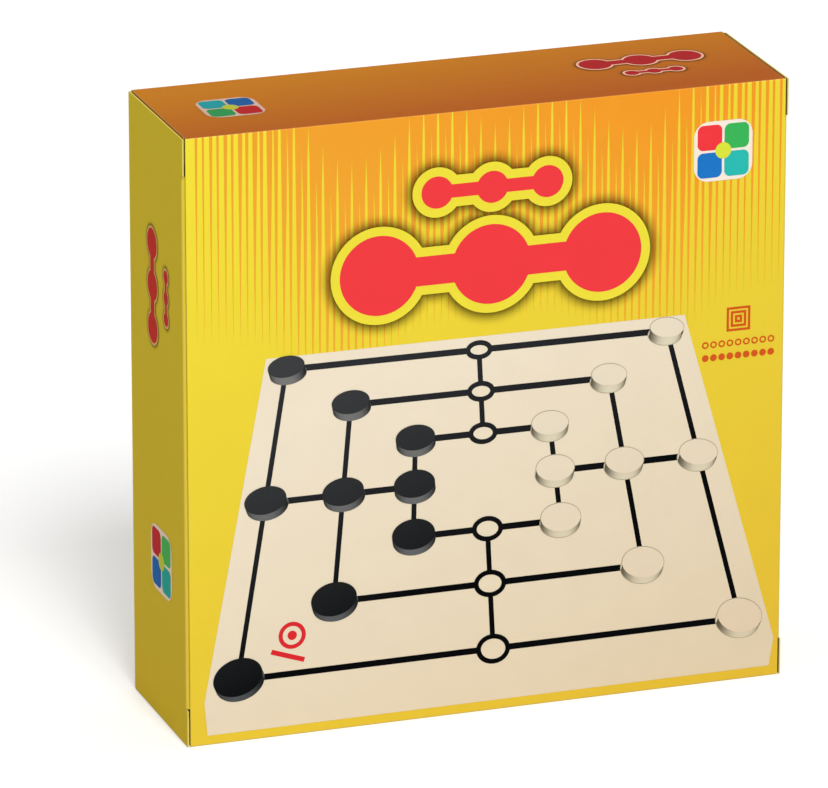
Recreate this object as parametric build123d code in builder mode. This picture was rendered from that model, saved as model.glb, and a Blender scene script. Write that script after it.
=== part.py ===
"""Nine mens morris box: a creased carton with a closure at each end, holding a board and its men.

Millimetres, +Z up. The origin is the middle of the face the carton stands on. The wide printed
front panel faces -Y, and the two end closures face -X and +X.
"""
import os
from math import cos, radians, sin, tan

from build123d import *

# Solid board of the carton
sheet = 0.6  # thickness
tuck_radius = 1.2  # outer radius of the softer crease of a tuck flap
crease_ease = 0.5  # degrees between the two halves of a crease that moves

# Playing board
board_side = 212.0
board_thickness = 18.0
board_edge = 1.2  # eased edge
board_margin = 0.0575  # round the outer square, as a share of its side
middle_square = 0.65  # of the outer square
inner_square = 0.325
groove_width = 2.0
groove_depth = 0.5
point_diameter = 12.0  # ring round each point
point_groove = 1.7

# Men
man_diameter = 18.5
man_thickness = 4.0
man_edge = 0.6
men_per_side = 9

# Room inside the carton
board_end_room = 7.2  # between the board's edge and a dust flap
board_head_room = 16.8  # above the board
board_clear = 0.1  # behind the board
row_room = 4.3  # between the back row of men and the board
man_row_gap = 1.6
man_side_gap = 1.5
man_wall_gap = 1.2  # behind the front panel

# Clearances of the carton's flaps
end_gap = 0.6  # between a closure and the ends of the tube
rim_gap = 0.3  # above and below a closure
side_gap = 0.3  # between a dust flap and the back panel
seam_lift = 0.2  # the back panel's cut lower edge above the table

# Closures
slit_length = 14.0  # each slit lock, along the closure's front corner
slit_relief = 0.4  # short cut across the inner end of a slit
ear_radius = 0.25  # crushed outer corner along an ear's cut edge
corner_cut_depth = 1.5  # the corner cut off beside the hinge crease, along Y
corner_cut_height = 0.8  # the same, along Z

# Tuck flaps
tuck_length = 16.0
tuck_gap = 0.3  # behind the front panel
tuck_lean = 6.0  # degrees inward of square, so that the tip clears as it leaves
tuck_notch = 30.0  # degrees of free bend at the inside of the crease
tuck_corner = 8.0

# Dust flaps
dust_length = 42.0
dust_taper = 31.5  # degrees on the side towards the closure's hinge
dust_set_back = 1.8  # behind the front crease, so that a slit opens on the dark inside
dust_shoulder = 9.5  # wide root that stops beside the tuck flap
dust_step = 3.5  # set back below the shoulder, clear of the tuck flap
dust_corner = 6.0

# Glued seam
glue_flap_height = 16.0
glue_flap_bevel = 5.0

# Worked out: the carton's outside sizes, and where its creases lie
fold_radius = sheet  # outer radius of a tight crease, sharp on the inside
carton_width = board_side + 2 * (board_end_room + 2 * sheet + end_gap)
board_space = board_thickness + board_clear + 2 * sheet
men_space = sheet + man_wall_gap + 2 * man_diameter + man_row_gap + row_room
carton_depth = men_space + board_space
carton_height = board_side + board_head_room + 2 * sheet
half_width = carton_width / 2
half_depth = carton_depth / 2
tube_half = half_width - sheet - end_gap
fold_y = half_depth - fold_radius
fold_top = carton_height - fold_radius
closure_span = carton_depth - sheet - tuck_gap  # hinge corner to tuck corner

# One half of a creased corner: outer radius, degrees of its round, and slope of its mitre
TIGHT_FOLD = (fold_radius, 45, 45)
TIGHT_HINGE = (fold_radius, 45 - crease_ease, 45)
TUCK_FOLD = (tuck_radius, 45, 45)
TUCK_HINGE = (tuck_radius, 45 + tuck_lean - crease_ease, 45 - tuck_lean - tuck_notch)


def panel_section(length, start=None, end=None):
    """Cross-section of one panel, its outer face along +X and its inside towards -Y.

    The length is from corner to corner. At an end that folds, the outer face runs on round half
    of the rounded corner and a mitre slopes from there to the inner face. An end with no fold is
    a plain cut.
    """
    tops, feet = [], []
    with BuildSketch() as section:
        with BuildLine():
            for corner, into, fold in ((0.0, 1, start), (length, -1, end)):
                if fold is None:
                    top = foot = corner
                    Line((top, 0), (foot, -sheet))
                else:
                    radius, sweep, mitre = fold
                    top = corner + into * radius
                    round_end = CenterArc((top, -radius), radius, 90, into * sweep) @ 1
                    foot = round_end.X + into * (sheet + round_end.Y) / tan(radians(mitre))
                    Line(round_end, (foot, -sheet))
                tops.append((top, 0))
                feet.append((foot, -sheet))
            Line(*tops)
            Line(*feet)
        make_face()
    return section.sketch


# Front panel: the printed face. Its two long edges are folded and its ends are cut.
with BuildPart() as front_panel:
    with BuildSketch(Plane(origin=(0, -half_depth, 0), x_dir=(0, 0, 1), z_dir=(1, 0, 0))):
        add(panel_section(carton_height, TIGHT_FOLD, TIGHT_FOLD))
    extrude(amount=tube_half, both=True)
front_panel.part.label = "front_panel"

# Top panel: folded to the front and back panels, and creased at both ends for the dust flaps.
with BuildPart() as top_panel:
    with BuildSketch(Plane(origin=(0, -half_depth, carton_height), x_dir=(0, 1, 0), z_dir=(1, 0, 0))):
        add(panel_section(carton_depth, TIGHT_FOLD, TIGHT_FOLD))
    extrude(amount=tube_half, both=True)
    with GridLocations(2 * tube_half, 0, 2, 1):
        with Locations((0, 0, carton_height)):
            Box(2 * sheet, 2 * fold_y, 2 * sheet, mode=Mode.SUBTRACT)
    with BuildSketch(Plane(origin=(-tube_half, 0, carton_height), x_dir=(1, 0, 0), z_dir=(0, -1, 0))):
        add(panel_section(2 * tube_half, TIGHT_FOLD, TIGHT_FOLD))
    extrude(amount=fold_y, both=True)
top_panel.part.label = "top_panel"

# Back panel: folded to the top panel and creased at both ends for the closures. Its lower edge
# is cut, and lies over the glue flap.
with BuildPart() as back_panel:
    with BuildSketch(Plane(origin=(0, half_depth, carton_height), x_dir=(0, 0, -1), z_dir=(1, 0, 0))):
        add(panel_section(carton_height - seam_lift, TIGHT_FOLD))
    extrude(amount=tube_half, both=True)
    with BuildSketch(Plane(origin=(-half_width, half_depth, fold_radius), x_dir=(1, 0, 0), z_dir=(0, 0, 1))):
        add(panel_section(carton_width, TIGHT_FOLD, TIGHT_FOLD))
    extrude(amount=fold_top - fold_radius)
back_panel.part.label = "back_panel"

# Bottom panel: folded to the front panel and to the glue flap, which lies inside the back panel.
bottom_depth = carton_depth - sheet
bottom_flat = bottom_depth - 2 * fold_radius
bottom_middle_y = -sheet / 2
with BuildPart() as bottom_panel:
    with BuildSketch(Plane(origin=(0, half_depth - sheet, 0), x_dir=(0, -1, 0), z_dir=(1, 0, 0))):
        add(panel_section(bottom_depth, TIGHT_FOLD, TIGHT_FOLD))
    extrude(amount=tube_half, both=True)
    with GridLocations(2 * tube_half, 0, 2, 1):
        with Locations((0, bottom_middle_y, 0)):
            Box(2 * sheet, bottom_flat, 2 * sheet, mode=Mode.SUBTRACT)
    with BuildSketch(Plane(origin=(tube_half, bottom_middle_y, 0), x_dir=(-1, 0, 0), z_dir=(0, -1, 0))):
        add(panel_section(2 * tube_half, TIGHT_FOLD, TIGHT_FOLD))
    extrude(amount=bottom_flat / 2, both=True)
bottom_panel.part.label = "bottom_panel"

# Glue flap: turned up from the bottom panel and glued to the inside of the back panel.
with BuildPart() as glue_flap:
    with BuildSketch(Plane(origin=(0, half_depth - sheet, 0), x_dir=(0, 0, 1), z_dir=(-1, 0, 0))):
        add(panel_section(glue_flap_height, TIGHT_FOLD))
    extrude(amount=tube_half - sheet - end_gap, both=True)
    cut_edge = glue_flap.faces().sort_by(Axis.Z)[-1]
    chamfer(cut_edge.edges().filter_by(Axis.Y), length=glue_flap_bevel)
glue_flap.part.label = "glue_flap"

# Left closure: hinged on the back panel. Between the slit locks it turns in to the tuck flap.
# Beyond them its two ears stay flat to the front corner.
closure_top = carton_height - rim_gap
closure_height = closure_top - rim_gap
tuck_height = carton_height - 2 * (slit_length + slit_relief)
ear_start = closure_span - tuck_radius


def closure_section(top):
    """Section plane of the left closure at one height, with its panel running towards -Y."""
    return Plane(origin=(-half_width, half_depth, top), x_dir=(0, -1, 0), z_dir=(0, 0, -1))


with BuildPart() as left_closure:
    with BuildSketch(closure_section(closure_top)):
        add(panel_section(ear_start, TIGHT_HINGE))
    extrude(amount=closure_height)
    with BuildSketch(closure_section(slit_length + slit_relief + tuck_height)):
        add(panel_section(closure_span, TIGHT_HINGE, TUCK_FOLD))
    extrude(amount=tuck_height)
    ear_height = slit_length - rim_gap
    for ear_top in (closure_top, slit_length):
        with BuildSketch(closure_section(ear_top)):
            with Locations(((ear_start + carton_depth) / 2, -sheet / 2)):
                ear = Rectangle(carton_depth - ear_start, sheet)
            fillet(ear.vertices().group_by(Axis.X)[-1].sort_by(Axis.Y)[-1], ear_radius)
        extrude(amount=ear_height)
    with BuildSketch(Plane.YZ.offset(-half_width - sheet)):
        for end_z, inward in ((closure_top, -1), (rim_gap, 1)):
            with BuildLine():
                Polyline(
                    (half_depth, end_z),
                    (half_depth - corner_cut_depth, end_z),
                    (half_depth, end_z + inward * corner_cut_height),
                    close=True,
                )
            make_face()
    extrude(amount=3 * sheet, mode=Mode.SUBTRACT)
left_closure.part.label = "left_closure"

# Left tuck flap: leans a little inward behind the front panel. The inside of its crease is
# open, so that it can bend further in as the closure pulls it out.
tuck_base = slit_length + slit_relief
tuck_plane = Plane(
    origin=(-half_width + tuck_radius, half_depth - ear_start, tuck_base),
    x_dir=(cos(radians(tuck_lean)), sin(radians(tuck_lean)), 0),
    z_dir=(0, 0, -1),
)
with BuildPart() as left_tuck_flap:
    with BuildSketch(tuck_plane):
        with Locations((-tuck_radius, tuck_radius)):
            add(panel_section(tuck_length, TUCK_HINGE))
    extrude(amount=-tuck_height)
    tuck_tip = left_tuck_flap.faces().sort_by(Axis.X)[-1]
    fillet(tuck_tip.edges().filter_by(Axis.Z, reverse=True), tuck_corner)
left_tuck_flap.part.label = "left_tuck_flap"

# Left upper dust flap: hangs from the top panel, inside the closure. Its shoulder stops beside
# the slit, and its other side tapers so that it swings clear behind the opening closure.
dust_front = -(fold_y - dust_set_back)
dust_back = fold_y - sheet - side_gap
taper_run = dust_length - fold_radius
with BuildPart() as left_upper_dust_flap:
    with BuildSketch(Plane(origin=(-tube_half, 0, carton_height), x_dir=(0, 0, -1), z_dir=(0, 1, 0))):
        add(panel_section(dust_length, TIGHT_HINGE))
    extrude(amount=fold_y, both=True)
    with BuildSketch(Plane.YZ.offset(-half_width)) as dust_outline:
        with BuildLine():
            Polyline(
                (dust_front, carton_height),
                (dust_back, carton_height),
                (dust_back, fold_top),
                (dust_back - taper_run * tan(radians(dust_taper)), fold_top - taper_run),
                (dust_front + dust_step, fold_top - taper_run),
                (dust_front + dust_step, fold_top - dust_shoulder - dust_step / 2),
                (dust_front, fold_top - dust_shoulder),
                close=True,
            )
        make_face()
        fillet(dust_outline.vertices().group_by(Axis.Y)[0], dust_corner)
    extrude(amount=3 * sheet, mode=Mode.INTERSECT)
left_upper_dust_flap.part.label = "left_upper_dust_flap"

# The lower dust flap mirrors the upper one, and the right end mirrors the left.
with BuildPart() as left_lower_dust_flap:
    mirror(left_upper_dust_flap.part, about=Plane.XY.offset(carton_height / 2))
left_lower_dust_flap.part.label = "left_lower_dust_flap"

left_end = (left_closure, left_tuck_flap, left_upper_dust_flap, left_lower_dust_flap)
right_end = []
for left_piece in left_end:
    with BuildPart() as right_piece:
        mirror(left_piece.part, about=Plane.YZ)
    right_piece.part.label = left_piece.part.label.replace("left", "right")
    right_end.append(right_piece)

# Playing board: a thick square slab on its edge against the back panel, with the traditional
# figure of three squares, four cross lines and twenty-four ringed points cut into its face.
board_back = half_depth - 2 * sheet - board_clear
board_front = board_back - board_thickness
board_middle = sheet + board_side / 2
outer_half = board_side / (2 * (1 + 2 * board_margin))
square_halves = [outer_half, outer_half * middle_square, outer_half * inner_square]
with BuildPart() as playing_board:
    with Locations((0, (board_front + board_back) / 2, board_middle)):
        Box(board_side, board_thickness, board_side)
    chamfer(playing_board.edges(), length=board_edge)
    face_plane = Plane(origin=(0, board_front, board_middle), x_dir=(1, 0, 0), z_dir=(0, -1, 0))
    with BuildSketch(face_plane):
        for half in square_halves:
            Rectangle(2 * half + groove_width, 2 * half + groove_width)
            Rectangle(2 * half - groove_width, 2 * half - groove_width, mode=Mode.SUBTRACT)
        arm_length = square_halves[0] - square_halves[2]
        arm_middle = (square_halves[0] + square_halves[2]) / 2
        with Locations((-arm_middle, 0), (arm_middle, 0)):
            Rectangle(arm_length, groove_width)
        with Locations((0, -arm_middle), (0, arm_middle)):
            Rectangle(groove_width, arm_length)
        steps = (-1, 0, 1)
        points = [(half * i, half * j) for half in square_halves for i in steps for j in steps if i or j]
        with Locations(points):
            Circle(point_diameter / 2, mode=Mode.SUBTRACT)
        with Locations(points):
            Circle(point_diameter / 2)
            Circle(point_diameter / 2 - point_groove, mode=Mode.SUBTRACT)
    extrude(amount=-groove_depth, mode=Mode.SUBTRACT)
playing_board.part.label = "playing_board"

# Men: plain turned discs, nine light and nine dark, lying in two rows on the bottom panel.
front_row_y = -half_depth + sheet + man_wall_gap + man_diameter / 2
back_row_y = front_row_y + man_diameter + man_row_gap
men = []
for colour, row_y in (("light", front_row_y), ("dark", back_row_y)):
    for number in range(1, men_per_side + 1):
        man_x = (man_diameter + man_side_gap) * (number - (men_per_side + 1) / 2)
        with BuildPart() as man:
            with BuildSketch(Plane.XY.offset(sheet)):
                with Locations((man_x, row_y)):
                    Circle(man_diameter / 2)
            extrude(amount=man_thickness)
            chamfer(man.edges(), length=man_edge)
        man.part.label = f"{colour}_man_{number}"
        men.append(man)

tube = [front_panel, top_panel, back_panel, bottom_panel, glue_flap]
os.makedirs("parts", exist_ok=True)
for piece in [*tube, *left_end, *right_end, playing_board, *men]:
    export_step(piece.part, f"parts/{piece.part.label}.step")
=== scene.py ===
"""Looks of the nine mens morris box: a printed carton with a hinged closure at each end, its
playing board and its men. Metres, +Z up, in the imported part's frame. The printed front faces -Y.
"""

import bpy
import numpy as np
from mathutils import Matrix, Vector


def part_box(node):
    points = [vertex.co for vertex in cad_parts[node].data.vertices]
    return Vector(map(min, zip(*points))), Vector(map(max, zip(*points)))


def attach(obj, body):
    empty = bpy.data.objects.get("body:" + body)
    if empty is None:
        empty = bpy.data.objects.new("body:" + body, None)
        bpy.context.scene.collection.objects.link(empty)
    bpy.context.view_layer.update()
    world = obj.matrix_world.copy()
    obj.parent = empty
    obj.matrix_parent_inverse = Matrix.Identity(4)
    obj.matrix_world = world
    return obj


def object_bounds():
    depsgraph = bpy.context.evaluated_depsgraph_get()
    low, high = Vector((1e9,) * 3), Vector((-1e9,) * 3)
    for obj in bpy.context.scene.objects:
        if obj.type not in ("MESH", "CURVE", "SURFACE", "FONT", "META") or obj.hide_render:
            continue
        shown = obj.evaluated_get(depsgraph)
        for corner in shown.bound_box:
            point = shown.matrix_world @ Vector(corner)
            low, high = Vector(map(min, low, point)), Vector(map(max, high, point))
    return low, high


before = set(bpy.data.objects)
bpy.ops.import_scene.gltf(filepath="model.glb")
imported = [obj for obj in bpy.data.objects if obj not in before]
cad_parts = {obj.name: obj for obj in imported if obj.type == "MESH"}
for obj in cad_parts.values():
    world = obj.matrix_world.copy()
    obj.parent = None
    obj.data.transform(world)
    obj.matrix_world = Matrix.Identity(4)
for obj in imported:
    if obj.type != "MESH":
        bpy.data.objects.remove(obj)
cad_box = [list(corner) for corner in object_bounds()]

# Carton sheet: solid board of pressed paper, litho printed outside in solid yellow and orange and
# sealed with satin varnish. It is cut and creased flat, so the print rolls over every fold, and
# the ink has run a little over every cut, which is straw yellow and kept bright as a painted
# highlight along the cut edges. Inside, the board is bare and grey brown, kept dark so that the
# slits between the panels show painted shade.
MM = 0.001
sheet = 0.6 * MM
fold_radius = sheet
rim_depth = 0.09 * MM
paper_fibre = 0.25 * MM
fibre_relief = 0.1 * MM
ink_cloud = 12 * MM  # size of the clouds in which solid ink is a little stronger or weaker
half_width, half_depth, carton_height = cad_box[1]
front_yellow = ("#DDB636", "#F4E23B")
end_yellow = ("#DDBC1C", "#E3C81E")
# Painted shade: the top's orange is printed darker than the stripes' orange, and darker towards the
# front edge, standing in for shade on the top.
top_orange_with_painted_shade = ("#B15805", "#C57904")  # at the front and at the back
# Straw yellow of the ink run over the cuts, kept bright as a painted highlight along the cut edges.
cut_rim_and_highlight = "#EAD653"
cut_middle_and_highlight = "#D9C765"
# Bare board inside, grey brown and kept dark, so that the slits between the panels show painted
# shade.
bare_greys_and_slit_shade = ("#958A74", "#ADA28B")
# Paler print over a fold, where the varnish stretches, and also a painted highlight along the fold.
fold_paling_and_highlight = "#F4EBC8"  # over a fold
printed_satin = 0.55
varnish_gloss = 0.03
bare_paper = 0.9


def srgb(code):
    """Linear RGBA of an sRGB hex colour: ((c + 0.055) / 1.055) ** 2.4, or c / 12.92 in the toe."""
    channels = np.array([int(code[place : place + 2], 16) for place in (1, 3, 5)]) / 255
    curve = ((channels + 0.055) / 1.055) ** 2.4
    return (*np.where(channels <= 0.04045, channels / 12.92, curve).tolist(), 1.0)


def add_node(tree, kind, inputs=None, **settings):
    """Add one node with its settings, and give each named input a value or a node's socket."""
    node = tree.nodes.new("ShaderNode" + kind)
    for name, value in settings.items():
        setattr(node, name, value)
    for name, value in (inputs or {}).items():
        if isinstance(value, bpy.types.NodeSocket):
            tree.links.new(value, node.inputs[name])
        else:
            node.inputs[name].default_value = value
    return node


def new_material(name):
    """An empty node material with its output, as (material, tree, output)."""
    material = bpy.data.materials.new(name)
    material.use_nodes = True
    tree = material.node_tree
    tree.nodes.clear()
    return material, tree, add_node(tree, "OutputMaterial")


def printed_sheet(name, outward, reach, along, span, inks):
    """Varnished litho print on solid board, for the panel whose printed face looks outward.

    Facing is the normal times the outward direction: 1 on the print, down to 0.7 half way round
    a fold, 0 on a cut and -1 inside. The ink runs from one colour to another over the span along
    one axis, and pales a little round a fold, where the varnish stretches; the paling is also a
    painted highlight along the fold. On a cut, the depth below the print, reach less the outward
    place, picks out the inked rim.
    """
    material, tree, output = new_material(name)
    place = add_node(tree, "TexCoord").outputs
    outward = np.array(outward, float)
    facing = add_node(
        tree, "VectorMath", {0: place["Normal"], 1: outward}, operation="DOT_PRODUCT"
    ).outputs["Value"]
    on_axis = add_node(
        tree, "VectorMath", {0: place["Object"], 1: along}, operation="DOT_PRODUCT"
    ).outputs["Value"]
    ramp = add_node(tree, "MapRange", {0: on_axis, 1: span[0], 2: span[1]}).outputs[0]
    grain = add_node(
        tree, "TexNoise", {"Vector": place["Object"], "Scale": 1 / ink_cloud, "Detail": 2.0}
    ).outputs["Fac"]
    uneven = add_node(tree, "MapRange", {0: grain, 3: 0.985, 4: 1.015}).outputs[0]
    ink = add_node(
        tree, "Mix", {0: ramp, 6: srgb(inks[0]), 7: srgb(inks[1])}, data_type="RGBA"
    ).outputs[2]
    ink = add_node(tree, "VectorMath", {0: ink, "Scale": uneven}, operation="SCALE").outputs[0]
    # Towards the middle of a fold the ink pales: stretched varnish and a painted highlight.
    bent = add_node(tree, "MapRange", {0: facing, 1: 0.995, 2: 0.70, 3: 0.0, 4: 0.22}).outputs[0]
    ink = add_node(
        tree, "Mix", {0: bent, 6: ink, 7: srgb(fold_paling_and_highlight)}, data_type="RGBA"
    ).outputs[2]

    out_place = add_node(
        tree, "VectorMath", {0: place["Object"], 1: outward}, operation="DOT_PRODUCT"
    ).outputs["Value"]
    depth = add_node(tree, "Math", {0: reach, 1: out_place}, operation="SUBTRACT").outputs[0]
    is_rim = add_node(tree, "Math", {0: depth, 1: rim_depth}, operation="LESS_THAN").outputs[0]
    cut = add_node(
        tree, "Mix", {0: is_rim, 6: srgb(cut_middle_and_highlight), 7: srgb(cut_rim_and_highlight)}, data_type="RGBA"
    ).outputs[2]
    fibres = add_node(
        tree, "TexNoise", {"Vector": place["Object"], "Scale": 1 / paper_fibre, "Detail": 3.0}
    ).outputs["Fac"]
    bare = add_node(
        tree,
        "Mix",
        {0: fibres, 6: srgb(bare_greys_and_slit_shade[0]), 7: srgb(bare_greys_and_slit_shade[1])},
        data_type="RGBA",
    ).outputs[2]
    is_inside = add_node(tree, "Math", {0: facing, 1: -0.3}, operation="LESS_THAN").outputs[0]
    unprinted = add_node(tree, "Mix", {0: is_inside, 6: cut, 7: bare}, data_type="RGBA").outputs[2]

    is_print = add_node(tree, "Math", {0: facing, 1: 0.3}, operation="GREATER_THAN").outputs[0]
    colour = add_node(
        tree, "Mix", {0: is_print, 6: unprinted, 7: ink}, data_type="RGBA"
    ).outputs[2]
    roughness = add_node(tree, "Mix", {0: is_print, 2: bare_paper, 3: printed_satin}).outputs[0]
    bump = add_node(
        tree, "Bump", {"Height": fibres, "Strength": 0.06, "Distance": fibre_relief}
    ).outputs[0]
    shader = add_node(
        tree, "BsdfPrincipled", {"Base Color": colour, "Roughness": roughness, "Normal": bump}
    )
    shader.inputs["Specular IOR Level"].default_value = varnish_gloss
    tree.links.new(shader.outputs[0], output.inputs["Surface"])
    return material


def dress(node, material):
    """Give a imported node's surface a finish, without touching its mesh."""
    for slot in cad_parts[node].material_slots:
        slot.link = "OBJECT"
        slot.material = material


up = (0, 0, 1)
whole_height = (0.0, carton_height)
slant = (-0.39, 0, 1)  # the front's yellow brightens from its lower right to its upper left
slant_span = (-0.044, 0.274)  # metres along the slant, at the two corners
dress(
    "front_panel",
    printed_sheet("litho_print_front", (0, -1, 0), half_depth, slant, slant_span, front_yellow),
)
dress(
    "back_panel",
    printed_sheet("litho_print_back", (0, 1, 0), half_depth, up, whole_height, front_yellow),
)
dress(
    "top_panel",
    printed_sheet(
        "litho_print_top_with_painted_shade", up, carton_height, (-0.1, 1, 0), (-half_depth, half_depth), top_orange_with_painted_shade
    ),
)
dress(
    "bottom_panel",
    printed_sheet(
        "litho_print_bottom", (0, 0, -1), 0.0, (0, 1, 0), (-half_depth, half_depth), end_yellow
    ),
)
for side, out_x in (("left", -1), ("right", 1)):
    end_finish = printed_sheet(
        f"litho_print_{side}_end", (out_x, 0, 0), half_width, up, whole_height, end_yellow
    )
    dress(f"{side}_closure", end_finish)
    flap_reach = float(max(abs(corner[0]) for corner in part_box(f"{side}_upper_dust_flap")))
    # The upper flaps carry the top's orange with its painted shade, which darkens the gap under the
    # top panel's ends.
    for level, ink in (("upper", top_orange_with_painted_shade), ("lower", end_yellow)):
        flap_finish = printed_sheet(
            f"litho_print_{side}_{level}_flap", (out_x, 0, 0), flap_reach, up, whole_height, ink
        )
        dress(f"{side}_{level}_dust_flap", flap_finish)
    tuck_front = float(-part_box(f"{side}_tuck_flap")[0][1])
    dress(
        f"{side}_tuck_flap",
        printed_sheet(
            f"litho_print_{side}_tuck_flap", (0, -1, 0), tuck_front, up, whole_height, end_yellow
        ),
    )

# Glue flap: the end of the sheet that is left unprinted, so that the glue takes, and stuck to
# the inside of the back panel.
bare_board, bare_tree, bare_output = new_material("uncoated_solid_board")
bare_place = add_node(bare_tree, "TexCoord").outputs["Object"]
bare_fibre = add_node(
    bare_tree, "TexNoise", {"Vector": bare_place, "Scale": 1 / paper_fibre, "Detail": 4.0}
).outputs["Fac"]
bare_colour = add_node(
    bare_tree,
    "Mix",
    {0: bare_fibre, 6: srgb(bare_greys_and_slit_shade[0]), 7: srgb(bare_greys_and_slit_shade[1])},
    data_type="RGBA",
).outputs[2]
bare_bump = add_node(
    bare_tree, "Bump", {"Height": bare_fibre, "Strength": 0.1, "Distance": fibre_relief}
).outputs[0]
bare_shader = add_node(
    bare_tree, "BsdfPrincipled", {"Base Color": bare_colour, "Normal": bare_bump}
)
bare_shader.inputs["Roughness"].default_value = bare_paper
bare_tree.links.new(bare_shader.outputs[0], bare_output.inputs["Surface"])
dress("glue_flap", bare_board)

# Orange stripes: upright lines of solid orange ink over the yellow, a line screen that is full
# at the top in three humps and thins out towards the foot. Every other yellow gap closes sooner,
# so the gaps end in points at two heights.
line_pitch = 2.707
first_line = -109.98
line_count = 83
stripe_foot = 118.0
humps = (  # middle, spread and fullness of each along the top edge
    (-109.0, 14.0, 0.09),
    (-50.3, 46.0, 1.15),
    (3.1, 17.4, 0.45),
    (55.4, 46.5, 1.13),
    (110.0, 14.0, 0.09),
)
shortest_fall = 79.1  # how far below the top edge the stripes have run out
falls = ((-56.3, 17.9, 30.2), (60.5, 20.7, 24.7))  # middle, spread and further reach of two lobes
narrow_gap_closes = 0.85
gap_shift = 0.3  # of the pitch, before the share of the gap that is open weakens it
ink_step = 0.03 * MM  # each printed layer lies this far above the one below
overlap_step = ink_step / 20  # and so far do overlapping shapes of one layer, in turn
overlap_turns = 16
flat_top = carton_height - fold_radius
fold_run = fold_radius * np.pi / 4
LINE, GROUND, SHADE, OUTLINE, SOLID, FACE, TOP = (ink_step * level for level in range(1, 8))


def on_front(points, lift):
    """Millimetres across and up the front panel, laid on it and round its half of the top fold.

    Above the flat part, the height is an arc length, and its angle round the fold is that length
    over the fold's radius.
    """
    across, height = points.T * MM
    angle = np.clip((height - flat_top) / fold_radius, 0, np.pi / 4)
    radius = fold_radius + lift
    y = -half_depth + fold_radius - radius * np.cos(angle)
    z = np.minimum(height, flat_top) + radius * np.sin(angle)
    return np.stack([across, y, z], axis=1)


def strip(side_a, side_b):
    """Quads between two curves, point by point, as (points, faces)."""
    count = len(side_a)
    step = np.arange(count - 1)
    faces = np.stack([step, step + 1, count + step + 1, count + step], axis=1)
    return np.vstack([side_a, side_b]), faces


def offset_ink(name, low_ink, high_ink, span=whole_height, along=up, alpha=None):
    """Satin-varnished ink on coated paper, from one colour to another along a direction.

    The solid is a little mottled, as offset ink is: it is scaled by noise in soft clouds. An
    alpha names the attribute that holds the share of the surface under ink.
    """
    material, tree, output = new_material(name)
    place = add_node(tree, "TexCoord").outputs["Object"]
    run = add_node(tree, "VectorMath", {0: place, 1: along}, operation="DOT_PRODUCT")
    ramp = add_node(tree, "MapRange", {0: run.outputs["Value"], 1: span[0], 2: span[1]}).outputs[0]
    solid = add_node(
        tree, "Mix", {0: ramp, 6: srgb(low_ink), 7: srgb(high_ink)}, data_type="RGBA"
    ).outputs[2]
    mottle = add_node(
        tree, "TexNoise", {"Vector": place, "Scale": 1 / ink_cloud, "Detail": 2.0}
    ).outputs["Fac"]
    uneven = add_node(tree, "MapRange", {0: mottle, 3: 0.975, 4: 1.025}).outputs[0]
    colour = add_node(
        tree, "VectorMath", {0: solid, "Scale": uneven}, operation="SCALE"
    ).outputs[0]
    fibres = add_node(
        tree, "TexNoise", {"Vector": place, "Scale": 1 / paper_fibre, "Detail": 3.0}
    ).outputs["Fac"]
    bump = add_node(
        tree, "Bump", {"Height": fibres, "Strength": 0.06, "Distance": fibre_relief}
    ).outputs[0]
    shader = add_node(tree, "BsdfPrincipled", {"Base Color": colour, "Normal": bump})
    shader.inputs["Roughness"].default_value = printed_satin
    shader.inputs["Specular IOR Level"].default_value = varnish_gloss
    if alpha:
        cover = add_node(tree, "Attribute", attribute_name=alpha).outputs["Fac"]
        tree.links.new(cover, shader.inputs["Alpha"])
    tree.links.new(shader.outputs[0], output.inputs["Surface"])
    return material


def print_layer(name, shapes, lift, lay, body, slot, material, overlap=overlap_step):
    """Lay flat shapes on a panel as one mesh that faces outward, and let it ride on its body.

    Each face is turned so that it runs anticlockwise as the panel is looked at: the sign of its
    area, from the cross product of its two diagonals, says which are turned round.
    """
    points, faces, start = [], [], 0
    for number, (shape_points, shape_faces) in enumerate(shapes):
        if shape_faces.shape[1] == 3:
            shape_faces = np.hstack([shape_faces, shape_faces[:, 2:]])
        corner = shape_points[shape_faces]
        one, two = corner[:, 2] - corner[:, 0], corner[:, 3] - corner[:, 1]
        area = one[:, 0] * two[:, 1] - one[:, 1] * two[:, 0]
        shape_faces = np.where(area[:, None] < 0, shape_faces[:, ::-1], shape_faces)
        points.append(lay(shape_points, lift + number % overlap_turns * overlap))
        faces.append(shape_faces[np.abs(area) > 1e-9] + start)
        start += len(shape_points)
    mesh = bpy.data.meshes.new(name)
    corners = [list(dict.fromkeys(face)) for face in np.vstack(faces).tolist()]
    mesh.from_pydata(np.vstack(points).tolist(), [], corners)
    mesh.materials.append(material)
    piece = bpy.data.objects.new(name, mesh)
    bpy.context.scene.collection.objects.link(piece)
    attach(piece, body)
    return piece


def set_cover(piece, cover):
    """Give a printed layer its share of ink, point by point, for the ink's alpha."""
    layer = piece.data.attributes.new("cover", "FLOAT", "POINT")
    layer.data.foreach_set("value", cover)


def bells(across, rows):
    """Sum of bell curves across the panel, each with its middle, spread and height."""
    return sum(high * np.exp(-(((across - middle) / spread) ** 2)) for middle, spread, high in rows)


def fullness(across, height):
    """Share of the surface under orange: full at the top edge, it falls in a straight line."""
    below = carton_height / MM - height
    return bells(across, humps) * np.clip(1 - below / (shortest_fall + bells(across, falls)), 0, 1)


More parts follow.
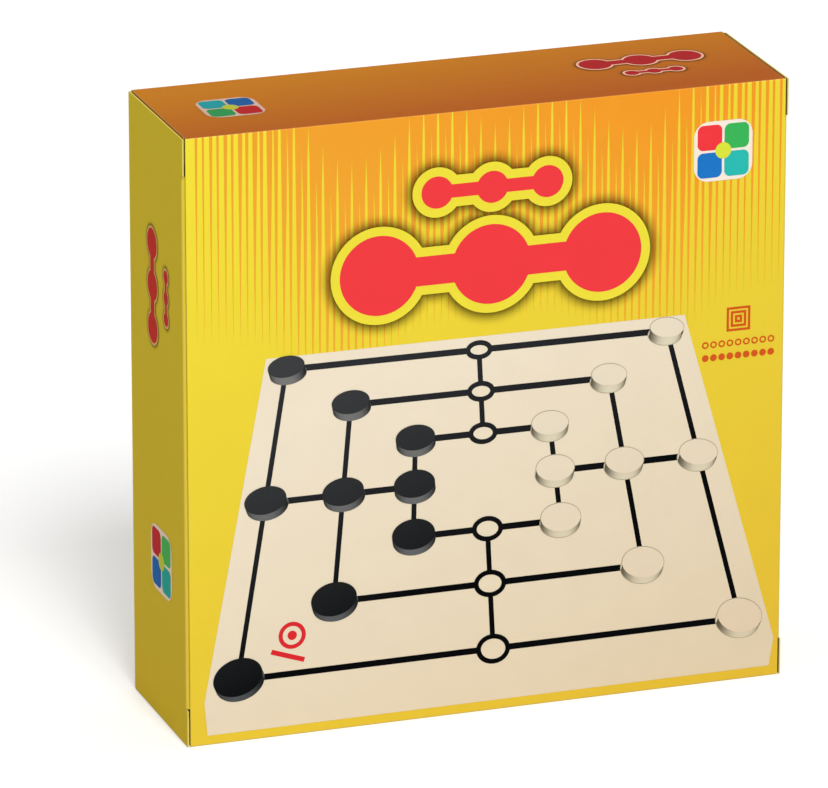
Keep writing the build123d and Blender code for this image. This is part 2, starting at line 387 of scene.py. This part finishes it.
fold_steps = np.arange(1, 7) / 6
stripe_height = np.concatenate(
    [np.linspace(stripe_foot, flat_top / MM, 84), (flat_top + fold_run * fold_steps) / MM]
)
stripes = []
for number in range(line_count):
    middle = first_line + number * line_pitch
    gap_edges = []
    for toward in (-1, 1):
        gap_number = number + (toward > 0)
        gap_middle = middle + toward * line_pitch / 2
        full = fullness(gap_middle, stripe_height)
        share = np.clip(1 - full / narrow_gap_closes, 0, 1)
        shift = gap_shift * 4 * share * (1 - share) ** 3 * line_pitch
        if gap_number % 2 == 0:
            share, shift = np.clip(2 * (1 - full) - share, 0, 1), 0
        gap_edges.append(gap_middle + shift - toward * share * line_pitch / 2)
    low_edge, high_edge = gap_edges
    meet = (low_edge + high_edge) / 2
    low_edge, high_edge = np.minimum(low_edge, meet), np.maximum(high_edge, meet)
    stripes.append(
        strip(
            np.stack([low_edge, stripe_height], axis=1),
            np.stack([high_edge, stripe_height], axis=1),
        )
    )
orange_ink = offset_ink("offset_ink_orange", "#F0A934", "#F39A28", (0.14, 0.26), (0.5, 0, 1))
front = (on_front, "carton", "printed_front")
print_layer("front_stripes", stripes, LINE, *front, orange_ink, 0.0)

# Picture of the game on the front: the board seen from its near side, in perspective, with the
# traditional figure of three squares and cross lines, dark men on the left-hand points, light
# men on the right-hand ones and empty rings on the rest. It is printed, so it is flat.
board_outline = np.array(
    [(-84.3, 144.9), (-108.5, 16.3), (-107.4, 3.7), (110.3, 4.0), (112.1, 14.9), (75.6, 144.2)]
)
picture_squares = (1.0, 0.65, 0.325)
level_line = 2.42
upright_line = 1.92
man_radius = {-1: 0.094, 1: 0.0885}  # dark and light, of half the outer square's side
ring_radii = (0.058, 0.063)  # across and up, of the same
ring_line = 1.85
light_edge_line = 0.25
rim_drop = (2.0, 2.85)  # at the near and the far side
rim_lean = 0.8  # towards the middle, at the outer square
face_rise = 1.2  # of a drawn man's face above its point
round_count = 64
turn = np.linspace(0, 2 * np.pi, round_count, endpoint=False)
circle = np.stack([np.cos(turn), np.sin(turn)], axis=1)


def in_picture(points):
    """Points of the board's plane, -1 to 1 on the outer square, to millimetres on the panel.

    It is a perspective: both are a linear sum of the point's coordinates over a third one, w.
    """
    u, v = np.atleast_2d(points).T
    w = 0.0065 * u + 0.1437 * v + 1
    return np.stack(
        [(83.21 * u - 2.97 * v - 1.14) / w, (0.308 * u + 69.54 * v + 90.015) / w], axis=1
    )


def fan(outline, centre=None):
    """Triangles from a centre to each side of a closed outline, as (points, faces)."""
    count = len(outline)
    ring = np.arange(count)
    centre = outline.mean(axis=0) if centre is None else centre
    faces = np.stack([np.full(count, count), ring, (ring + 1) % count], axis=1)
    return np.vstack([outline, centre]), faces


def loop(inner, outer):
    """Quads between two closed outlines of equal count, as (points, faces)."""
    count = len(inner)
    ring = np.arange(count)
    after = (ring + 1) % count
    faces = np.stack([ring, after, count + after, count + ring], axis=1)
    return np.vstack([inner, outer]), faces


def bar(start, end, width):
    """A straight line of ink with square ends: half its width each side, square to its run."""
    start, end = np.array(start, float), np.array(end, float)
    run = (end - start) / np.linalg.norm(end - start)
    aside = np.array([-run[1], run[0]]) * width / 2
    return strip(np.array([start + aside, end + aside]), np.array([start - aside, end - aside]))


def swell(outline, width):
    """A closed outline moved outward by a distance, square to its own run."""
    run = np.roll(outline, -1, axis=0) - np.roll(outline, 1, axis=0)
    outward = np.stack([run[:, 1], -run[:, 0]], axis=1)
    return outline + outward * width / np.linalg.norm(outward, axis=1, keepdims=True)


def lower_half(outline):
    """The points of a closed outline from its left end round its foot to its right end."""
    return np.vstack([outline[round_count // 2 :], outline[:1]])


def drop_of(centre):
    """Height of a drawn man's rim, between the near and the far value by its place."""
    near, far = rim_drop
    return near + (far - near) * (centre[1] + 1) / 2


fade = (-0.42, 0, 1)  # the picture pales from its lower right to its upper left
picture_cream = offset_ink("offset_ink_cream", "#DBC9AA", "#EEE1C9", (-0.03, 0.15), fade)
picture_black = offset_ink("offset_ink_black", "#010203", "#3B3D3F", (0.051, 0.172), fade)
line_black = offset_ink("offset_ink_line_black", "#010203", "#2B2C2F", (0.06, 0.158), fade)
print_layer("picture_board", [fan(board_outline)], GROUND, *front, picture_cream)
figure = []
for half in picture_squares:
    corners = in_picture([(-half, -half), (half, -half), (half, half), (-half, half)])
    for number in range(4):
        width = level_line if number % 2 == 0 else upright_line
        figure.append(bar(corners[number], corners[(number + 1) % 4], width))
outer, _, inner = picture_squares
for u, v in ((1, 0), (-1, 0), (0, 1), (0, -1)):
    start, end = in_picture([(u * inner, v * inner), (u * outer, v * outer)])
    figure.append(bar(start, end, level_line if u else upright_line))
print_layer("picture_lines", figure, SHADE, *front, line_black)

points = [(half * i, half * j) for half in picture_squares for i in (-1, 0, 1) for j in (-1, 0, 1)]
points = [point for point in points if point != (0, 0)]
rings, ring_floors, light_edges = [], [], []
faces_at, rims_at, walls_at = {-1: [], 1: []}, {-1: [], 1: []}, {-1: [], 1: []}
for point in points:
    side = int(np.sign(point[0]))
    if side == 0:
        path = in_picture(np.array(point) + ring_radii * circle)
        rings.append(loop(swell(path, -ring_line / 2), swell(path, ring_line / 2)))
        ring_floors.append(fan(path))
        continue
    face = in_picture(np.array(point) + man_radius[side] * circle) + (0, face_rise)
    foot = face - (rim_lean * point[0], drop_of(point))
    wall = strip(lower_half(face), lower_half(foot))
    faces_at[side].append(fan(face))
    rims_at[side] += [fan(foot), wall]
    walls_at[side].append(wall)
    if side > 0:
        wide_face, wide_foot = (swell(outline, light_edge_line) for outline in (face, foot))
        wide_wall = strip(lower_half(wide_face), lower_half(wide_foot))
        light_edges += [fan(wide_foot), fan(wide_face), wide_wall]
light_edge_ink = offset_ink("offset_ink_light_edge", "#A69A80", "#B4AB93", (0.0, 0.145))
for name, shapes, lift, ink in (
    ("ring_floors", ring_floors, OUTLINE, picture_cream),
    ("rings", rings, SOLID, line_black),
    ("light_edges", light_edges, OUTLINE, light_edge_ink),
):
    print_layer(f"picture_{name}", shapes, lift, *front, ink)
man_inks = {  # of the face, of the wall and of the shade at both ends of the wall
    -1: (
        picture_black,
        offset_ink("offset_ink_dark_wall", "#43474A", "#7A7A78", (0.0, 0.145)),
        offset_ink("offset_ink_dark_shade", "#0B0C0E", "#1E1F21", alpha="cover"),
    ),
    1: (
        offset_ink("offset_ink_light_face", "#DCC7AA", "#E8DCC4", (-0.03, 0.12), fade),
        offset_ink("offset_ink_light_wall", "#D2C4A6", "#DDD4BA", (0.0, 0.145)),
        offset_ink("offset_ink_light_shade", "#4C4230", "#5A5140", alpha="cover"),
    ),
}
wall_turn = np.linspace(np.pi, 2 * np.pi, round_count // 2 + 1)
wall_cover = np.tile(0.75 * np.abs(np.cos(wall_turn)) ** 3, 2)  # darkest at the wall's two ends
for side, colour in ((-1, "dark"), (1, "light")):
    face_ink, wall_ink, shade_ink = man_inks[side]
    for part, shapes, lift, ink in (
        ("walls", rims_at[side], SOLID, wall_ink),
        ("wall_shades", walls_at[side], FACE, shade_ink),
        ("faces", faces_at[side], TOP, face_ink),
    ):
        layer_name = f"picture_{colour}_{part}"
        piece = print_layer(layer_name, shapes, lift, *front, ink)
        if part == "wall_shades":
            set_cover(piece, np.tile(wall_cover, len(shapes)))

# Large emblems: a made mill, three red men in a row on their line, with a thick yellow border
# and a soft dark shadow round it. A large and a small one stand on the front, and smaller pairs
# on the top panel and both closures.
front_emblem_inks = (
    offset_ink("offset_ink_yellow", "#EBD93C", "#EFE03E"),
    offset_ink("offset_ink_red", "#EC3B40", "#F03D42"),
)
# Painted shade: the top's and the closures' emblems use darker copies of the front's border and
# red, standing in for shade on those faces.
top_emblem_shaded_inks = (
    offset_ink("offset_ink_top_border_shaded", "#F1B99A", "#F4BC9E"),
    offset_ink("offset_ink_top_red_shaded", "#A71115", "#AB1317"),
)
end_emblem_shaded_inks = (
    offset_ink("offset_ink_end_border_shaded", "#E3B067", "#EAB868"),
    offset_ink("offset_ink_end_red_shaded", "#C91D08", "#CF210A"),
)
shadow_ink = offset_ink("offset_ink_soft_shadow", "#3A2A08", "#3A2A08", alpha="cover")
shadow_cell = 0.7
shadow_depth = 0.62  # greatest cover
border_overlap = 0.8  # how far the shadow runs in under the border


def mill(centre, pitch, radius, width, swollen=0.0):
    """Three discs in a row and the line that joins them, each grown outward by one distance."""
    cx, cz = centre
    discs = [fan(circle * (radius + swollen) + (cx + k * pitch, cz)) for k in (-1, 0, 1)]
    line = bar((cx - pitch, cz), (cx + pitch, cz), width + 2 * swollen)
    return [*discs, line]


def mill_distance(points, centre, pitch, radius, width):
    """Distance from each point to a mill: the least of those to its discs and to its line."""
    away = points - np.array(centre)
    to_discs = [np.hypot(away[:, 0] - k * pitch, away[:, 1]) - radius for k in (-1, 0, 1)]
    past_end = np.maximum(np.abs(away[:, 0]) - pitch, 0)
    to_line = np.hypot(past_end, np.maximum(np.abs(away[:, 1]) - width / 2, 0))
    return np.minimum.reduce([*to_discs, to_line])


def soft_shadow(name, rows, border, reach, face):
    """A shadow round some mills: a grid whose cover falls off with the distance past the border.

    The cover is the square of one minus distance over reach, and cells with none are left out.
    """
    extent = [
        (cx + sx * (pitch + radius + reach + border), cz + sz * (radius + reach + border))
        for (cx, cz), pitch, radius, width in rows
        for sx in (-1, 1)
        for sz in (-1, 1)
    ]
    low, high = np.min(extent, axis=0), np.max(extent, axis=0)
    across = np.arange(low[0], high[0], shadow_cell)
    upward = np.arange(low[1], high[1], shadow_cell)
    grid = np.stack(np.meshgrid(across, upward, indexing="ij"), axis=-1).reshape(-1, 2)
    away = np.minimum.reduce([mill_distance(grid, *row) for row in rows]) - border
    cover = shadow_depth * np.clip(1 - np.maximum(away, 0) / reach, 0, 1) ** 2
    rows_up = len(upward)
    first = (np.arange(len(across) - 1)[:, None] * rows_up + np.arange(rows_up - 1)).ravel()
    faces = np.stack([first, first + rows_up, first + rows_up + 1, first + 1], axis=1)
    shown = (cover[faces].max(axis=1) > 0) & (away[faces].max(axis=1) > -border_overlap)
    faces = faces[shown]
    used, faces = np.unique(faces, return_inverse=True)
    shape = (grid[used], faces.reshape(-1, 4))
    set_cover(print_layer(name, [shape], SHADE, *face, shadow_ink), cover[used])


def emblem(name, rows, border, reach, face, inks):
    """Shadow, border and red of some mills, as three printed layers on one face."""
    soft_shadow(f"{name}_shadow", rows, border, reach, face)
    border_shapes = [shape for row in rows for shape in mill(*row, swollen=border)]
    print_layer(f"{name}_border", border_shapes, OUTLINE, *face, inks[0])
    red_shapes = [shape for row in rows for shape in mill(*row)]
    print_layer(f"{name}_red", red_shapes, SOLID, *face, inks[1])


def flat_face(origin, across, upward):
    """A function that lays millimetres across and up a flat face, lifted along its normal."""
    origin, across, upward = (np.array(part, float) for part in (origin, across, upward))
    normal = np.cross(across, upward)

    def lay(points, lift):
        return origin + points * MM @ np.stack([across, upward]) + normal * lift

    return lay


on_top = flat_face((0, 0, carton_height), (-1, 0, 0), (0, -1, 0))
on_left = flat_face((-half_width, 0, 0), (0, -1, 0), (0, 0, 1))
on_right = flat_face((half_width, 0, 0), (0, 1, 0), (0, 0, 1))
on_back = flat_face((0, half_depth, 0), (-1, 0, 0), (0, 0, 1))
top = (on_top, "carton", "printed_top")
# Of each mill: its centre, the distance between its men, their radius and the line's width.
front_rows = (((1.0, 171.5), 42.5, 15.0, 11.0), ((1.4, 200.5), 21.0, 6.0, 5.0))
emblem("front_emblem", front_rows, 3.4, 5.5, front, front_emblem_inks)


def upright(lay):
    """The same face with its artwork turned a quarter to the right: across becomes downward."""

    def turned(points, lift):
        return lay(np.stack([points[:, 1], -points[:, 0]], axis=1), lift)

    return turned


top_rows = (((-72.0, -6.5), 17.5, 6.0, 4.5), ((-72.0, 8.0), 8.5, 2.6, 2.2))
emblem("top_emblem", top_rows, 0.9, 2.0, top, top_emblem_shaded_inks)
end_rows = (((-164.5, -4.5), 16.0, 5.6, 4.2), ((-164.5, 11.5), 8.0, 2.5, 2.1))
for side, lay in (("left", on_left), ("right", on_right)):
    end = (upright(lay), f"{side}_closure", "printed_end")
    emblem(f"{side}_emblem", end_rows, 0.9, 1.8, end, end_emblem_shaded_inks)

# Small badges: a white-edged rounded square with a block of colour in each quarter and a dot in
# the middle, printed near a corner of the front and on the top panel and closures.
badge_parts = ("ground", "red", "green", "blue", "teal", "dot")
# The top and end palettes are mostly darker copies of the front's: painted shade standing in for
# shade on those faces.
badge_codes_with_painted_shade = {
    "front": ("#F6E9DA", "#F03A40", "#3BB458", "#1F76C4", "#2BBAB0", "#D8E23E"),
    "top": ("#D2B4A0", "#B41218", "#268F4A", "#045596", "#12969A", "#B8BE38"),
    "end": ("#F4DCC6", "#C61419", "#45B44F", "#0363AE", "#0CA795", "#CBD03A"),
}
badge_inks_with_painted_shade = {
    kind: [
        offset_ink(f"offset_ink_{kind}_badge_{part}", code, code)
        for part, code in zip(badge_parts, codes)
    ]
    for kind, codes in badge_codes_with_painted_shade.items()
}


def rounded_square(centre, half, corner):
    """A square with round corners: each quarter of a circle, moved out to a corner's centre."""
    angle = turn + np.pi / round_count
    arc = np.stack([np.cos(angle), np.sin(angle)], axis=1)
    return np.array(centre) + arc * corner + np.sign(arc) * (half - corner)


def badge(name, centre, half, face, inks):
    """Ground, four blocks and a dot, one printed layer for each ink.

    Their sizes are shares of the badge's half width.
    """
    cx, cz = centre
    fields = [fan(rounded_square(centre, half, 0.5 * half))]
    for sx, sz in ((-1, 1), (1, 1), (-1, -1), (1, -1)):
        middle = (cx + sx * half * 0.46, cz + sz * half * 0.46)
        fields.append(fan(rounded_square(middle, half * 0.42, half * 0.2)))
    fields.append(fan(circle * half * 0.27 + centre))
    lifts = (OUTLINE, SOLID, SOLID, SOLID, SOLID, FACE)
    for part, shape, lift, ink in zip(badge_parts, fields, lifts, inks):
        print_layer(f"{name}_{part}", [shape], lift, *face, ink)


badge("front_badge", (89.8, 205.2), 11.3, front, badge_inks_with_painted_shade["front"])
badge("top_badge", (87.0, 1.0), 11.0, top, badge_inks_with_painted_shade["top"])
for side, lay in (("left", on_left), ("right", on_right)):
    end = (lay, f"{side}_closure", "printed_end")
    badge(f"{side}_badge", (3.0, 61.5), 12.5, end, badge_inks_with_painted_shade["end"])

# Contents marks: in orange red beside the picture, a little board and two rows of nine dots,
# rings for the light men and solid for the dark. A small red point mark lies in the picture's
# near corner.
contents_ink = offset_ink("offset_ink_orange_red", "#D2581E", "#D2581E")
mark_ink = offset_ink("offset_ink_mark_red", "#D62A30", "#D62A30")
contents_middle = 96.6
board_mark_height = 140.5
board_mark_line = 0.9
ring_height, dot_height = 131.5, 126.5
dot_pitch, dot_radius, dot_hole = 3.2, 1.3, 0.75
mark_centre = (-75.0, 38.5)
contents = []
for half in (4.6, 3.0, 1.4):
    square = np.array([(-half, -half), (half, -half), (half, half), (-half, half)])
    place = (contents_middle, board_mark_height)
    contents.append(loop(square * (1 - board_mark_line / half) + place, square + place))
for number in range(-4, 5):
    across = contents_middle + dot_pitch * number
    ring_centre = (across, ring_height)
    contents.append(loop(circle * dot_hole + ring_centre, circle * dot_radius + ring_centre))
    contents.append(fan(circle * dot_radius + (across, dot_height)))
print_layer("contents_marks", contents, SHADE, *front, contents_ink)
mark = [
    loop(circle * 3.6 + mark_centre, circle * 5.2 + mark_centre),
    fan(circle * 1.8 + mark_centre),
    bar((-83.0, 33.0), (-70.4, 28.6), 1.9),
]
print_layer("point_mark", mark, SHADE, *front, mark_ink)

# Back of the carton: the same yellow, with the traditional figure seen square on, on a cream
# ground.
back = (on_back, "carton", "printed_front")
back_half = 66.0
back_margin = 10
back_middle = (0, 108.0)
back_line = 1.8
back_point_radius = 3.2
back_ground = rounded_square(back_middle, back_half + back_margin, 8.0)
print_layer("back_ground", [fan(back_ground)], LINE, *back, picture_cream)
back_figure, back_points = [], []
for share in picture_squares:
    half = back_half * share
    square = np.array([(-half, -half), (half, -half), (half, half), (-half, half)]) + back_middle
    back_figure += [bar(square[n], square[(n + 1) % 4], back_line) for n in range(4)]
    for i, j in [(i, j) for i in (-1, 0, 1) for j in (-1, 0, 1) if i or j]:
        point = np.array([half * i, half * j]) + back_middle
        back_points.append(fan(circle * back_point_radius + point))
for way in ((1, 0), (-1, 0), (0, 1), (0, -1)):
    reach = np.array(way) * back_half
    back_figure.append(bar(reach * inner + back_middle, reach * outer + back_middle, back_line))
print_layer("back_figure", back_figure, SHADE, *back, picture_black)
print_layer("back_points", back_points, OUTLINE, *back, picture_black)

# Playing board: a slab of fine-grained hardwood under a matt cream lacquer, with the figure cut
# into one face and filled with black.
board_low, board_high = (np.array(corner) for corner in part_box("playing_board"))
board_middle = (board_low + board_high) / 2
groove_reach = 97 * MM
groove_middle, groove_half = 0.5 * MM, 0.42 * MM  # of its depth behind the face
lacquer, tree, output = new_material("matt_lacquered_board")
place = add_node(tree, "TexCoord").outputs["Object"]
axes = add_node(tree, "SeparateXYZ", {0: place}).outputs
stretched = add_node(
    tree, "Mapping", {"Vector": place, "Scale": (1 / (60 * MM), 1 / (1.2 * MM), 1 / (1.2 * MM))}
).outputs[0]
grain = add_node(
    tree, "TexNoise", {"Vector": stretched, "Scale": 1.0, "Detail": 4.0}
).outputs["Fac"]
cream = add_node(
    tree, "Mix", {0: grain, 6: srgb("#E2D0B0"), 7: srgb("#EFE3CC")}, data_type="RGBA"
).outputs[2]
in_groove = add_node(
    tree,
    "Math",
    {0: axes["Y"], 1: board_low[1] + groove_middle, 2: groove_half},
    operation="COMPARE",
).outputs[0]
for axis, centre in (("X", board_middle[0]), ("Z", board_middle[2])):
    within = add_node(
        tree, "Math", {0: axes[axis], 1: centre, 2: groove_reach}, operation="COMPARE"
    ).outputs[0]
    in_groove = add_node(tree, "Math", {0: in_groove, 1: within}, operation="MULTIPLY").outputs[0]
colour = add_node(
    tree, "Mix", {0: in_groove, 6: cream, 7: srgb("#17171A")}, data_type="RGBA"
).outputs[2]
bump = add_node(tree, "Bump", {"Height": grain, "Strength": 0.05, "Distance": 0.2 * MM}).outputs[0]
shader = add_node(tree, "BsdfPrincipled", {"Base Color": colour, "Normal": bump})
shader.inputs["Roughness"].default_value = 0.5
tree.links.new(shader.outputs[0], output.inputs["Surface"])
dress("playing_board", lacquer)

# Men: eighteen turned beech discs, nine waxed and left pale and nine stained black.
for colour_name, dark_wood, light_wood in (
    ("light", "#D9C7A2", "#EBDFC6"),
    ("dark", "#111214", "#232427"),
):
    wood, tree, output = new_material(f"turned_beech_{colour_name}")
    place = add_node(tree, "TexCoord").outputs["Object"]
    stretched = add_node(
        tree, "Mapping", {"Vector": place, "Scale": (1 / (9 * MM), 1 / (0.5 * MM), 1 / (0.5 * MM))}
    ).outputs[0]
    grain = add_node(
        tree, "TexNoise", {"Vector": stretched, "Scale": 1.0, "Detail": 3.0}
    ).outputs["Fac"]
    tone = add_node(
        tree, "Mix", {0: grain, 6: srgb(dark_wood), 7: srgb(light_wood)}, data_type="RGBA"
    ).outputs[2]
    bump = add_node(
        tree, "Bump", {"Height": grain, "Strength": 0.08, "Distance": 0.1 * MM}
    ).outputs[0]
    shader = add_node(tree, "BsdfPrincipled", {"Base Color": tone, "Normal": bump})
    shader.inputs["Roughness"].default_value = 0.38
    tree.links.new(shader.outputs[0], output.inputs["Surface"])
    for number in range(1, 10):
        dress(f"{colour_name}_man_{number}", wood)

# Floor: a plain white studio sweep. Camera and glossy rays see it as white where no shadow falls.
floor_reach = 4.0
floor_glow = 0.34  # added for those rays alone
floor_drop = -0.05 * MM  # so that the floor and the carton's foot don't share a plane
floor_corners = [
    (x * floor_reach, y * floor_reach, floor_drop) for x, y in ((-1, -1), (1, -1), (1, 1), (-1, 1))
]
floor_mesh = bpy.data.meshes.new("floor")
floor_mesh.from_pydata(floor_corners, [], [(0, 1, 2, 3)])
floor = bpy.data.objects.new("floor", floor_mesh)
bpy.context.scene.collection.objects.link(floor)
floor_paint, tree, output = new_material("matt_white_floor")
floor_diffuse = add_node(tree, "BsdfDiffuse", {"Color": srgb("#E6E6E6")})
floor_lift = add_node(tree, "Emission", {"Color": (1, 1, 1, 1)})
ray = add_node(tree, "LightPath").outputs
seen = add_node(
    tree, "Math", {0: ray["Is Camera Ray"], 1: ray["Is Glossy Ray"]}, operation="MAXIMUM"
).outputs[0]
lifted = add_node(tree, "Math", {0: seen, 1: floor_glow}, operation="MULTIPLY").outputs[0]
tree.links.new(lifted, floor_lift.inputs["Strength"])
both = add_node(tree, "AddShader", {0: floor_diffuse.outputs[0], 1: floor_lift.outputs[0]})
tree.links.new(both.outputs[0], output.inputs["Surface"])
floor_mesh.materials.append(floor_paint)

# Light: an even white sky, and one large soft lamp in front and a little to the left, 46 degrees
# up. It lights the printed front and the top, grazes the left end and throws the shadow back. A
# weak low lamp behind lifts the back and the right end out of the shade.
world = bpy.data.worlds.new("studio")
bpy.context.scene.world = world
world.use_nodes = True
tree = world.node_tree
tree.nodes.clear()
ray = add_node(tree, "LightPath").outputs
seen = add_node(
    tree, "Math", {0: ray["Is Camera Ray"], 1: ray["Is Glossy Ray"]}, operation="MAXIMUM"
).outputs[0]
strength = add_node(tree, "Mix", {0: seen, 2: 0.35, 3: 1.0}).outputs[0]
sky = add_node(tree, "Background", {"Color": (1, 1, 1, 1), "Strength": strength})
world_output = add_node(tree, "OutputWorld", {"Surface": sky.outputs[0]})
for name, energy, angle, run in (  # strength, spread in radians and direction of the light
    ("key", 2.25, 0.36, (0.03, 0.693, -0.72)),
    ("fill", 0.6, 0.8, (-0.35, -0.9, -0.26)),
):
    lamp_data = bpy.data.lights.new(name, "SUN")
    lamp_data.energy = energy
    lamp_data.angle = angle
    lamp = bpy.data.objects.new(name, lamp_data)
    lamp.rotation_euler = Vector(run).to_track_quat("-Z", "Y").to_euler()
    lamp.visible_glossy = name == "key"
    bpy.context.scene.collection.objects.link(lamp)

# Camera: a long lens, a little above the box and to its left, from the fit of its corners.
camera_data = bpy.data.cameras.new("camera")
camera_data.sensor_width = 36.0
camera_data.lens = 364.7
camera = bpy.data.objects.new("camera", camera_data)
bpy.context.scene.collection.objects.link(camera)
azimuth, elevation, distance = np.radians(-19.16), np.radians(18.82), 3.059
back = Vector(
    (np.sin(azimuth) * np.cos(elevation), -np.cos(azimuth) * np.cos(elevation), np.sin(elevation))
)
right = Vector((np.cos(azimuth), np.sin(azimuth), 0))
upward = back.cross(right)
centre = Vector((0, 0, carton_height / 2))
camera.location = centre + back * distance + right * (-0.0163) + upward * (-0.0029)
camera.rotation_euler = back.to_track_quat("Z", "Y").to_euler()
camera_data.clip_end = 50.0
bpy.context.scene.camera = camera
bpy.context.scene.view_settings.view_transform = "Standard"
